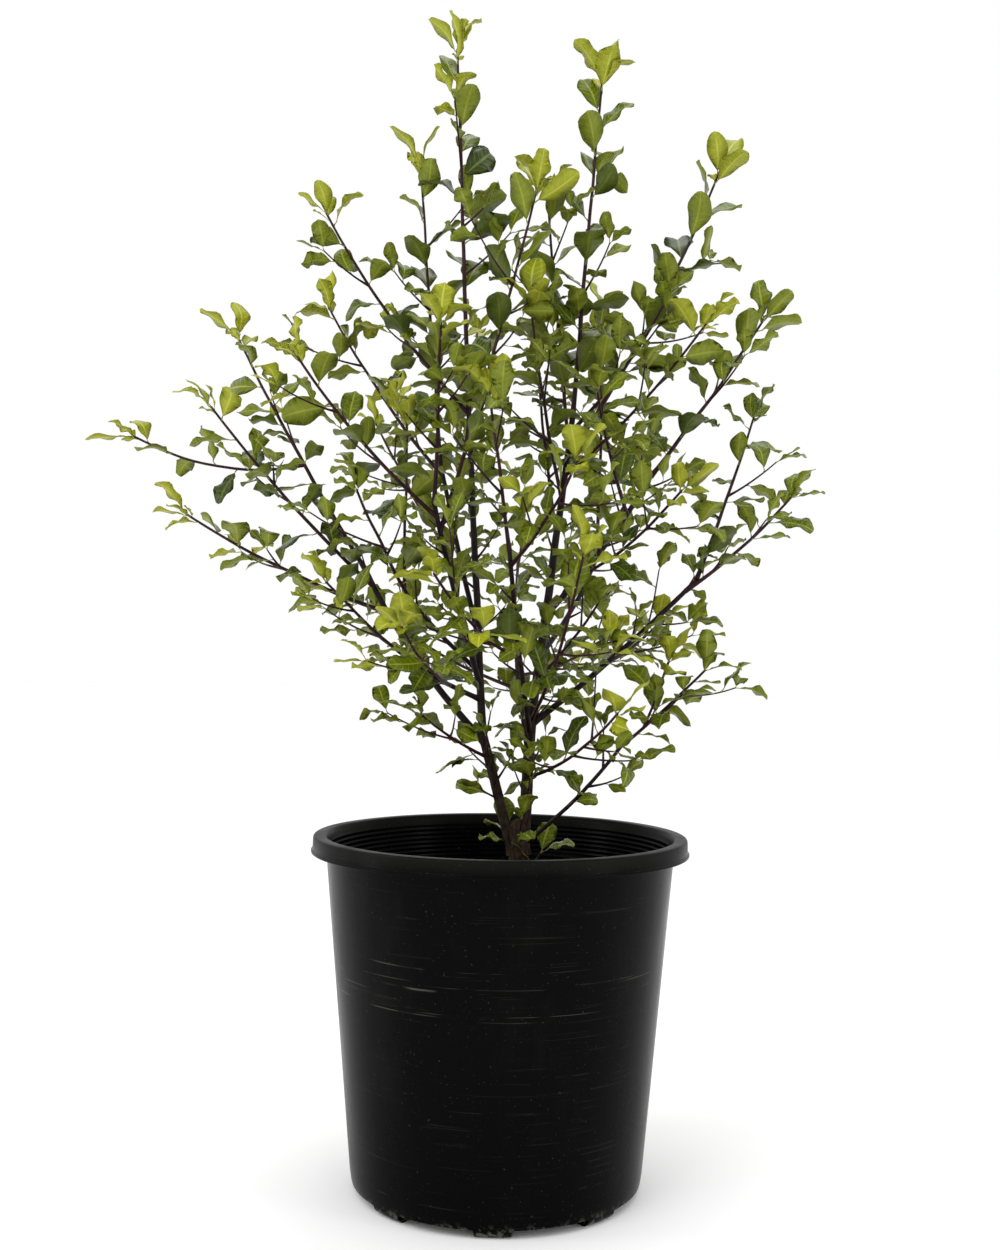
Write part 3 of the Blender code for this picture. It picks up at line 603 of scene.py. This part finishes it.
def limb_between(start, tip, spread, root_radius, tip_radius, wobble=WOBBLE):
    """A limb from start to tip with a swollen collar at its root and the slight wobble of a grown shoot."""
    steps = max(4, round((tip - start).length / SHOOT_STEP))
    points, radii = [], []
    for index, point in enumerate(bend(start, tip, spread, steps)):
        share = index / steps
        drift = noise.noise_vector(point * 22) * wobble * math.sin(math.pi * share)
        points.append(point + drift)
        swell = COLLAR_SWELL * math.exp(-(point - start).length / COLLAR_LENGTH)
        radii.append((root_radius + (tip_radius - root_radius) * share) * (1 + swell))
    return Limb(points, radii)


def trunk_limb():
    height = TRUNK_FORK.z - TRUNK_FOOT.z
    points = [TRUNK_FOOT.lerp(TRUNK_FORK, rise * MM / height) for rise, _, _ in TRUNK_WIDTHS]
    return Limb(points, [(wide + deep) / 2 * MM for _, wide, deep in TRUNK_WIDTHS])


def crowned(limb):
    """A limb with a rounded top, for the crotch between the trunk's two stems."""
    top, along, radius = limb.at(1)
    dome = [top + along * 0.4 * radius, top + along * 0.7 * radius]
    return Limb(limb.points + dome, limb.radii + [0.75 * radius, 0.25 * radius])


def bough_limb(name, limbs):
    parent, share, tip, spread, root_radius, tip_radius = BOUGHS[name]
    start = limbs[parent].at(share)[0]
    if name in FORK_SIDES:
        start = start + Vector((FORK_SIDES[name] * FORK_SPREAD, 0, -FORK_SINK))
    return limb_between(start, Vector(tip) * MM, spread, root_radius * MM, tip_radius * MM, 0.6 * WOBBLE)


# Leaves

class Foliage:
    """What grows on the shoots, as it is dealt out: leaves by how old they are, with the dark ones partly
    painted shade deep in the crown, and the lines of twigs and stalks.
    """

    def __init__(self):
        self.leaves = {"young": [], "fresh": [], "mature": [], "dark": []}
        self.twigs = []
        self.stalks = []


def leaf_pose(along, number, rise, roll, turn):
    """Heading and face direction of a leaf on a stem: leaves stand round it by the golden angle."""
    across = along.cross(UP)
    if across.length < 0.05:
        across = Vector((1, 0, 0))
    across.normalize()
    out = Matrix.Rotation(number * GOLDEN_ANGLE + turn, 3, along) @ across
    heading = (out * math.cos(rise) + along * math.sin(rise)).normalized()
    if heading.z < 0:
        heading.z *= 0.4
        heading.normalize()
    level = UP - heading * UP.dot(heading)
    if level.length < 0.2:
        level = out - heading * out.dot(heading)
    return heading, Matrix.Rotation(roll, 3, heading) @ level.normalized()


def grow_leaf(foliage, age_and_shade, shoot, share, number, rise, roll, size, turn, draw):
    point, along, radius = shoot.at(share)
    heading, facing = leaf_pose(along, number, rise, roll, turn)
    beside = heading.cross(facing).normalized()
    facing = beside.cross(heading)
    base = point + heading * (radius + PETIOLE * size) + along * 0.8 * MM
    turned = Matrix((beside, heading, facing)).transposed().to_quaternion()
    kinds = (0, FLAT_SHAPES) if size > FLAT_LEAF_SIZE else (FLAT_SHAPES - 2, LEAF_SHAPES)
    foliage.leaves[age_and_shade].append((base, turned, size, draw.randrange(*kinds), draw.random()))
    joint = point + heading * 0.4 * radius
    knee = joint.lerp(base, 0.5) + along * 0.5 * MM
    end = base + heading * 1.5 * MM * size - facing * 0.2 * MM
    radii = [PETIOLE_RADIUS * taper * size for taper in PETIOLE_TAPER]
    foliage.stalks.append(Limb([joint, knee, base - facing * 0.15 * MM, end], radii))


def leaf_age_and_shade(draw, from_tip, sunny, inner):
    """Young leaves lie at a sunny shoot's tip. Dark leaves are old leaves dealt at random, with more of them
    deep in the crown as painted shade.
    """
    if from_tip < 3 and sunny:
        return "young"
    if from_tip < 6:
        return "fresh"
    # Inner spur leaves are more often dark: painted shade deep in the crown, on top of the real darker old
    # leaves
    return "dark" if draw.random() < (0.55 if inner else 0.25) else "mature"


def grow_leaves(foliage, shoot, first, tip_leaves, sizes, lift, sunny, inner, draw):
    """Leaves along one shoot: level at its root, rising towards its tip, with an upright tuft at the end."""
    count = max(1, round(shoot.length() * (1 - first) / LEAF_SPACING))
    turn = draw.uniform(0, 2 * math.pi)
    for number in range(count):
        share = first + (1 - first) * (number + 0.3) / count
        rise = math.radians(draw.uniform(*SIDE_RISE) + RISE_TO_TIP * share ** 2 + lift)
        usual = draw.random() < USUAL_SHARE
        roll = math.radians(draw.gauss(0, USUAL_ROLL) if usual else draw.uniform(*STRAY_ROLL))
        age_and_shade = leaf_age_and_shade(draw, count - number + 1, sunny, inner)
        grow_leaf(foliage, age_and_shade, shoot, share, number, rise, roll, draw.uniform(*sizes), turn, draw)
    for number in range(tip_leaves):
        rise = math.radians(draw.uniform(*TIP_RISE))
        roll = math.radians(draw.uniform(*TIP_ROLL))
        size = draw.uniform(*sizes) * TIP_SIZES[number]
        age_and_shade = leaf_age_and_shade(draw, 1, sunny, inner)
        grow_leaf(foliage, age_and_shade, shoot, 0.995 - 0.012 * number, count + number, rise, roll, size, turn, draw)


def grow_twig(foliage, stem, share, number, length, sizes, sunny, inner, draw):
    """A short side twig that leaves a stem and turns up, with its leaves."""
    point, along, radius = stem.at(share)
    heading = leaf_pose(along, number, math.radians(draw.uniform(*TWIG_RISE)), 0, 0)[0]
    root_radius = min(TWIG_RADIUS, 0.75 * radius)
    twig = limb_between(point, point + heading * length, TWIG_SPREAD, root_radius, TWIG_TIP, 0.5 * WOBBLE)
    foliage.twigs.append(twig)
    grow_leaves(foliage, twig, 0.25, 2, sizes, 0, sunny, inner, draw)


def between(ends, share):
    low, high = ends
    return low + (high - low) * share


def reached(start, tip):
    """The tip of a shoot, a little past the tip of the source's mass, where its last leaves end."""
    tip = Vector(tip) * MM
    return tip + (tip - start).normalized() * TIP_REACH


def grow_mass(foliage, name, limbs):
    """One mass of foliage: its main shoot, side shoots, twigs and spurs, and the leaves on all of them."""
    parent, share, tip, spread, root_radius, twigs = MASSES[name]
    draw = random.Random(name)
    start = limbs[parent].at(share)[0]
    stem = limb_between(start, reached(start, tip), spread, root_radius * MM, SHOOT_TIP)
    shoots = [stem]
    if name in SIDE_SHOOTS:
        share, tip, spread, root_radius = SIDE_SHOOTS[name]
        start = stem.at(share)[0]
        shoots.append(limb_between(start, reached(start, tip), spread, root_radius * MM, SHOOT_TIP))
    for shoot in shoots:
        foliage.twigs.append(shoot)
        sizes, lift = (VIGOROUS_SIZES, VIGOROUS_RISE) if name in VIGOROUS else (LEAF_SIZES, 0)
        sunny = draw.random() < SUNNY_SHOOTS or name in VIGOROUS
        grow_leaves(foliage, shoot, 0.1, TIP_LEAVES, sizes, lift, sunny, False, draw)
    for number in range(twigs):
        share = between(TWIG_SHARES, (number + 0.5) / twigs)
        length = TWIG_LENGTH * draw.uniform(0.75, 1.15)
        sunny = draw.random() < SUNNY_TWIGS
        grow_twig(foliage, stem, share, number, length, TWIG_LEAF_SIZES, sunny, False, draw)
    for number in range(SPURS_ON_SHOOT):
        share = draw.uniform(*SPUR_SHARES)
        length = SPUR_LENGTH * draw.uniform(0.7, 1.2)
        grow_twig(foliage, stem, share, twigs + number + 0.5, length, SPUR_LEAF_SIZES, False, True, draw)


def grow_spurs(foliage, name, limb):
    """Short leafy spurs along the outer part of a bough."""
    draw = random.Random(name + " spurs")
    first, last = BOUGH_SPUR_SHARES
    spacing = STEM_SPUR_SPACING if name in OLD_WOOD else SPUR_SPACING
    count = round(limb.length() * (last - first) / spacing)
    for number in range(count):
        share = between(BOUGH_SPUR_SHARES, (number + draw.uniform(0.2, 0.8)) / count)
        length = SPUR_LENGTH * draw.uniform(0.7, 1.3)
        grow_twig(foliage, limb, share, number, length, SPUR_LEAF_SIZES, False, True, draw)


# Meshes of points and lines for the trees

def point_mesh(name, dealt):
    """Points with the turn, size, shape number and tone that the dealing tree reads."""
    mesh = bpy.data.meshes.new(name)
    mesh.from_pydata([place for place, *_ in dealt], [], [])
    for label, kind, field, values in (
        ("turn", "QUATERNION", "value", [value for _, turned, *_ in dealt for value in turned]),
        ("size", "FLOAT", "value", [size for _, _, size, *_ in dealt]),
        ("shape", "INT", "value", [shape for *_, shape, _ in dealt]),
        ("tone", "FLOAT", "value", [tone for *_, tone in dealt]),
    ):
        mesh.attributes.new(label, kind, "POINT").data.foreach_set(field, values)
    return mesh


def line_mesh(name, limbs):
    """Every limb's line with its thickness, for the limb tree."""
    points, edges, radii = [], [], []
    for limb in limbs:
        first = len(points)
        points += limb.points
        radii += limb.radii
        edges += [(index, index + 1) for index in range(first, len(points) - 1)]
    mesh = bpy.data.meshes.new(name)
    mesh.from_pydata(points, edges, [])
    mesh.attributes.new("thickness", "FLOAT", "POINT").data.foreach_set("value", radii)
    return mesh


# The pot

POT_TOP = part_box("pot")[1]
POT_HEIGHT = POT_TOP.z
WALL = 2.3 * MM
FOOT_RADIUS = 118 * MM
BASE_RADIUS = 127 * MM
BASE_CORNER = 15 * MM
SHOULDER_RADIUS = 151.5 * MM
SHOULDER_HEIGHT = 288 * MM
COLLAR_LIP = POT_TOP.x - 0.1 * MM
COLLAR_RADIUS = COLLAR_LIP - 1.4 * MM
COLLAR_DEPTH = 14.5 * MM
COLLAR_WALL = 2 * MM
MOUTH_RADIUS = 153 * MM
POT_SIDES = 160
RIDGES = 10
RIDGE_SPACING = 4.2 * MM
RIDGE_DEPTH = 0.5 * MM
RIDGE_HALF = 0.9 * MM
SLOTS = 8
SLOT_WIDTH = math.radians(31)
SLOT_HEIGHT = 7.5 * MM
SLOT_INNER_RADIUS = 107 * MM
SLOT_TURN = math.radians(21.5)
SCRATCH_BELT = 202 * MM
SCRATCH_BELT_HALF = 13 * MM
LOWER_BELT = 178 * MM
LOWER_BELT_HALF = 4 * MM


def wall_radius(height):
    """The outside of the pot's wall between its base and its collar."""
    slope = (SHOULDER_RADIUS - BASE_RADIUS) / (SHOULDER_HEIGHT - BASE_CORNER)
    return BASE_RADIUS + slope * (height - BASE_CORNER)


def rounded(corners, steps=4):
    """A profile whose corners (radius, height, rounding) are cut back by short arcs."""
    profile = []
    for index, (radius, height, rounding) in enumerate(corners):
        corner = Vector((radius, height))
        if not rounding or index in (0, len(corners) - 1):
            profile.append((radius, height))
            continue
        before = Vector(corners[index - 1][:2])
        after = Vector(corners[index + 1][:2])
        back = min(rounding, 0.45 * (before - corner).length, 0.45 * (after - corner).length)
        start = corner + (before - corner).normalized() * back
        end = corner + (after - corner).normalized() * back
        for step in range(steps + 1):
            t = step / steps
            profile.append(tuple((1 - t) ** 2 * start + 2 * t * (1 - t) * corner + t ** 2 * end))
    return profile


def turned(name, profile, sides):
    """Spin a profile of (radius, height) about Z. Its first and last points lie on the axis."""
    mesh = bmesh.new()
    points = [mesh.verts.new((radius, 0, height)) for radius, height in profile]
    edges = [mesh.edges.new(pair) for pair in zip(points, points[1:])]
    turn = {"cent": (0, 0, 0), "axis": (0, 0, 1), "angle": 2 * math.pi, "steps": sides}
    bmesh.ops.spin(mesh, geom=points + edges, use_merge=True, **turn)
    bmesh.ops.remove_doubles(mesh, verts=mesh.verts, dist=0.005 * MM)
    bmesh.ops.recalc_face_normals(mesh, faces=mesh.faces)
    made = bpy.data.objects.new(name, bpy.data.meshes.new(name))
    mesh.to_mesh(made.data)
    mesh.free()
    bpy.context.scene.collection.objects.link(made)
    return made


def slot_cutters():
    """Eight curved blocks through the pot's lower corner, as in the part."""
    mesh = bmesh.new()
    steps = 8
    for slot in range(SLOTS):
        middle = -math.pi / 2 + SLOT_TURN + 2 * math.pi * slot / SLOTS
        rings = []
        for step in range(steps + 1):
            turn = middle + SLOT_WIDTH * (step / steps - 0.5)
            inner, outer = SLOT_INNER_RADIUS, BASE_RADIUS + 5 * MM
            corners = ((inner, -MM), (outer, -MM), (outer, SLOT_HEIGHT), (inner, SLOT_HEIGHT))
            rings.append([mesh.verts.new((r * math.cos(turn), r * math.sin(turn), z)) for r, z in corners])
        for near, far in zip(rings, rings[1:]):
            for side in range(4):
                mesh.faces.new((near[side], far[side], far[(side + 1) % 4], near[(side + 1) % 4]))
        mesh.faces.new(rings[0])
        mesh.faces.new(rings[-1][::-1])
    bmesh.ops.recalc_face_normals(mesh, faces=mesh.faces)
    cutters = bpy.data.objects.new("slot cutters", bpy.data.meshes.new("slot cutters"))
    mesh.to_mesh(cutters.data)
    mesh.free()
    bpy.context.scene.collection.objects.link(cutters)
    return cutters


def make_pot():
    """The nursery pot: a turned-out collar with a lip, fine ridges inside the mouth, and drain slots."""
    top = POT_HEIGHT
    collar_foot = top - COLLAR_DEPTH
    inside = COLLAR_RADIUS - COLLAR_WALL
    corners = [
        (0, 3 * MM, 0),
        (FOOT_RADIUS - WALL, 3 * MM, 2 * MM),
        (wall_radius(BASE_CORNER) - WALL, BASE_CORNER, 4 * MM),
    ]
    for ridge in range(RIDGES, 0, -1):
        height = top - 5 * MM - ridge * RIDGE_SPACING
        wall = wall_radius(height) - WALL
        corners += [
            (wall, height - RIDGE_HALF, 0),
            (wall - RIDGE_DEPTH, height, 0.3 * MM),
            (wall, height + RIDGE_HALF, 0),
        ]
    corners += [
        (wall_radius(top - 5 * MM) - WALL, top - 5 * MM, 0),
        (MOUTH_RADIUS - 0.6 * MM, top, 2 * MM),
        (COLLAR_RADIUS - 0.4 * MM, top, 2.6 * MM),
        (COLLAR_RADIUS, collar_foot + 3 * MM, 0.8 * MM),
        (COLLAR_LIP, collar_foot + 2 * MM, 0.6 * MM),
        (COLLAR_LIP, collar_foot, 0.6 * MM),
        (inside, collar_foot, 0.5 * MM),
        (inside, top - 3 * MM, 1 * MM),
        (wall_radius(top) + 1 * MM, top - 3 * MM, 1 * MM),
        (SHOULDER_RADIUS, SHOULDER_HEIGHT, 0),
        (wall_radius(150 * MM), 150 * MM, 0),
        (wall_radius(32 * MM), 32 * MM, 0),
        (BASE_RADIUS, BASE_CORNER, 6 * MM),
        (BASE_RADIUS - 2 * MM, 4 * MM, 4 * MM),
        (FOOT_RADIUS + 2 * MM, 0, 3 * MM),
        (FOOT_RADIUS - 3 * MM, 0, 0),
        (0, 0, 0),
    ]
    pot = turned("nursery_pot", rounded(corners), POT_SIDES)
    cutters = slot_cutters()
    cut = pot.modifiers.new("drain slots", "BOOLEAN")
    cut.operation = "DIFFERENCE"
    cut.solver = "EXACT"
    cut.object = cutters
    plain(pot)
    bpy.data.objects.remove(cutters)
    pot.data.shade_smooth()
    pot.data.set_sharp_from_angle(angle=math.radians(40))
    pot.data.materials.clear()
    pot.data.materials.append(pot_material())
    return placed(pot, "pot_plastic", "pot")


# The potting mix

MIX_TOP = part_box("potting_mix")[1]
MIX_RINGS = 26
CHIPS = 520
CHIP_LENGTH = 13 * MM
CHIP_SIZES = (0.35, 1.3)
CHIP_SHAPES = 6


def mix_height(x, y):
    """The lumpy level of the potting mix, a little lower at the wall."""
    lumps = noise.noise(Vector((x, y, 0)) * 45) * 1.6 * MM
    lumps += noise.noise(Vector((x, y, 1)) * 160) * 0.9 * MM
    return MIX_TOP.z - 3.2 * MM - 2.5 * MM * (math.hypot(x, y) / MIX_TOP.x) ** 2 + lumps


def make_mix():
    gap = 0.4 * MM
    edge = wall_radius(MIX_TOP.z - 8 * MM) - WALL - gap
    profile = [(edge * ring / MIX_RINGS, MIX_TOP.z - 4 * MM) for ring in range(MIX_RINGS + 1)]
    profile += [
        (wall_radius(BASE_CORNER) - WALL - gap - 1 * MM, BASE_CORNER + 1 * MM),
        (FOOT_RADIUS - WALL - 2 * MM, 3.4 * MM),
        (0, 3.4 * MM),
    ]
    mix = turned("bark_mix", profile, 96)
    for vertex in mix.data.vertices:
        if vertex.co.z > MIX_TOP.z - 5 * MM:
            vertex.co.z = mix_height(vertex.co.x, vertex.co.y)
    mix.data.shade_smooth()
    mix.data.materials.append(mix_material("composted bark", "#140d08", "#3a281a", 0.95))
    placed(mix, "potting_mix", "potting_mix")
    draw = random.Random(7)
    dealt = []
    while len(dealt) < CHIPS:
        x, y = draw.uniform(-edge, edge), draw.uniform(-edge, edge)
        beside_trunk = math.hypot(x - TRUNK_FOOT.x, y) < 15 * MM
        if math.hypot(x, y) > edge - 9 * MM or beside_trunk:
            continue
        turn = Euler((draw.gauss(0, 0.3), draw.gauss(0, 0.3), draw.uniform(0, 2 * math.pi))).to_quaternion()
        place = Vector((x, y, mix_height(x, y) + 0.6 * MM))
        dealt.append((place, turn, draw.uniform(*CHIP_SIZES), draw.randrange(CHIP_SHAPES), draw.random()))
    shapes = shape_collection("bark chips", [chip_shape(number) for number in range(CHIP_SHAPES)])
    bark = mix_material("shredded pine bark", "#1f130b", "#5e4029", 0.85)
    settings = {"Shapes": shapes, "Length": CHIP_LENGTH, "Material": bark}
    chips = grown("bark_chips", point_mesh("bark chips", dealt), DEALING, settings)
    placed(chips, "potting_mix")


# The plant

def make_plant():
    limbs = {"trunk": trunk_limb()}
    for name in BOUGHS:
        limbs[name] = bough_limb(name, limbs)
    foliage = Foliage()
    for name in MASSES:
        grow_mass(foliage, name, limbs)
    for name, limb in limbs.items():
        grow_spurs(foliage, name, limb)
    dust = "#4a3c2e"
    old_bark = bark_material("rough brown bark", "#33241a", "#120b07", 2.2 * MM, 0.8, 0.35 * MM, dust)
    young_bark = bark_material("smooth purple bark", "#241014", "#0e0608", 3.5 * MM, 0.5, 0.15 * MM)
    shoot_bark = bark_material("reddish shoot skin", "#38121a", "#16060a", 3 * MM, 0.45, 0.08 * MM)
    stalk_skin = bark_material("pale leaf stalk", "#8f9a48", "#6d5a34", 2 * MM, 0.45, 0.03 * MM)
    old = [crowned(limbs["trunk"]), limbs["left_stem"], limbs["right_stem"]]
    young = [limb for name, limb in limbs.items() if name.startswith("bough_")]
    young_nodes = [name for name in BOUGHS if name not in FORK_SIDES]
    for name, lines, step, sides, ridge, width, bark, slot, nodes in (
        ("old_wood", old, 1.6, 24, 0.9, 3.0, old_bark, "bark", OLD_WOOD),
        ("young_wood", young, 3, 14, 0.35, 3.5, young_bark, "shoot_bark", young_nodes),
        ("shoots", foliage.twigs, 5, 8, 0.12, 3, shoot_bark, "shoot_bark", list(MASSES)),
        ("leaf_stalks", foliage.stalks, 2, 6, 0.0, 3, stalk_skin, "leaves", list(MASSES)),
    ):
        settings = {
            "Step": step * MM,
            "Sides": sides,
            "Ridge height": ridge * MM,
            "Ridge width": width * MM,
            "Material": bark,
        }
        placed(grown(name, line_mesh(name, lines), LIMBS, settings), slot, *nodes)
    shapes = shape_collection("leaf shapes", [leaf_shape(number) for number in range(LEAF_SHAPES)])
    for age_and_shade, blade, deep, vein, underside, roughness in (
        ("young", "#a5a818", "#858e10", "#c8c85c", "#979c28", 0.3),
        ("fresh", "#6c780a", "#515f06", "#a3a83c", "#757f24", 0.25),
        ("mature", "#4f5d08", "#364403", "#8a9236", "#667224", 0.22),
        # Dark leaves: partly real old leaves, partly painted shade, since most of them are dealt deep in the
        # crown
        ("dark", "#384807", "#202e02", "#6c7834", "#4e5a1c", 0.22),
    ):
        skin = leaf_material(f"{age_and_shade} pittosporum leaf", blade, deep, vein, underside, roughness)
        settings = {"Shapes": shapes, "Length": LEAF_LENGTH, "Material": skin}
        leaves = grown(f"{age_and_shade}_leaves", point_mesh(age_and_shade, foliage.leaves[age_and_shade]), DEALING, settings)
        placed(leaves, "leaves", *MASSES)


# The room: floor, light and camera

def make_room():
    """A pale floor, a soft pale sky and four large soft lamps."""
    bpy.ops.mesh.primitive_plane_add(size=30)
    floor = bpy.context.object
    floor.name = "floor"
    material, _, shader = new_material("pale matt paint", 0.9)
    shader.inputs["Base Color"].default_value = linear("#ffffff")
    floor.data.materials.append(material)
    world = bpy.data.worlds.new("pale sky")
    world.use_nodes = True
    world.node_tree.nodes["Background"].inputs["Color"].default_value = linear("#ffffff")
    world.node_tree.nodes["Background"].inputs["Strength"].default_value = 1.0
    bpy.context.scene.world = world
    for name, place, aim, width, height, power in (
        ("key lamp", (-1.5, -1.7, 2.3), (0, 0, 0.55), 1.6, 1.6, 20),
        ("left strip", (-2.2, -0.4, 0.9), (0, 0, 0.3), 0.5, 2.2, 10),
        ("right strip", (2.0, -1.1, 1.0), (0, 0, 0.4), 0.6, 2.0, 10),
        ("top lamp", (0.3, 0.5, 2.8), (0, 0, 0.6), 1.8, 1.8, 12),
    ):
        lamp = bpy.data.lights.new(name, "AREA")
        lamp.shape = "RECTANGLE"
        lamp.size, lamp.size_y = width, height
        lamp.energy = power
        stand = bpy.data.objects.new(name, lamp)
        stand.location = place
        stand.rotation_euler = (Vector(aim) - Vector(place)).to_track_quat("-Z", "Y").to_euler()
        bpy.context.scene.collection.objects.link(stand)


def make_camera():
    camera = bpy.data.cameras.new("camera")
    camera.sensor_fit = "VERTICAL"
    camera.sensor_height = SENSOR
    camera.lens = SENSOR * FOCAL_LENGTH / PHOTO_HEIGHT
    stand = bpy.data.objects.new("camera", camera)
    pitched = Matrix.Rotation(math.pi / 2 + LENS_PITCH, 4, "X") @ Matrix.Rotation(LENS_ROLL, 4, "Z")
    stand.matrix_world = Matrix.Translation(LENS_PLACE) @ pitched
    bpy.context.scene.collection.objects.link(stand)
    bpy.context.scene.camera = stand


DEALING = dealing_tree()
LIMBS = limb_tree()
make_pot()
make_mix()
make_plant()
make_room()
make_camera()
bpy.context.scene.view_settings.view_transform = "Standard"
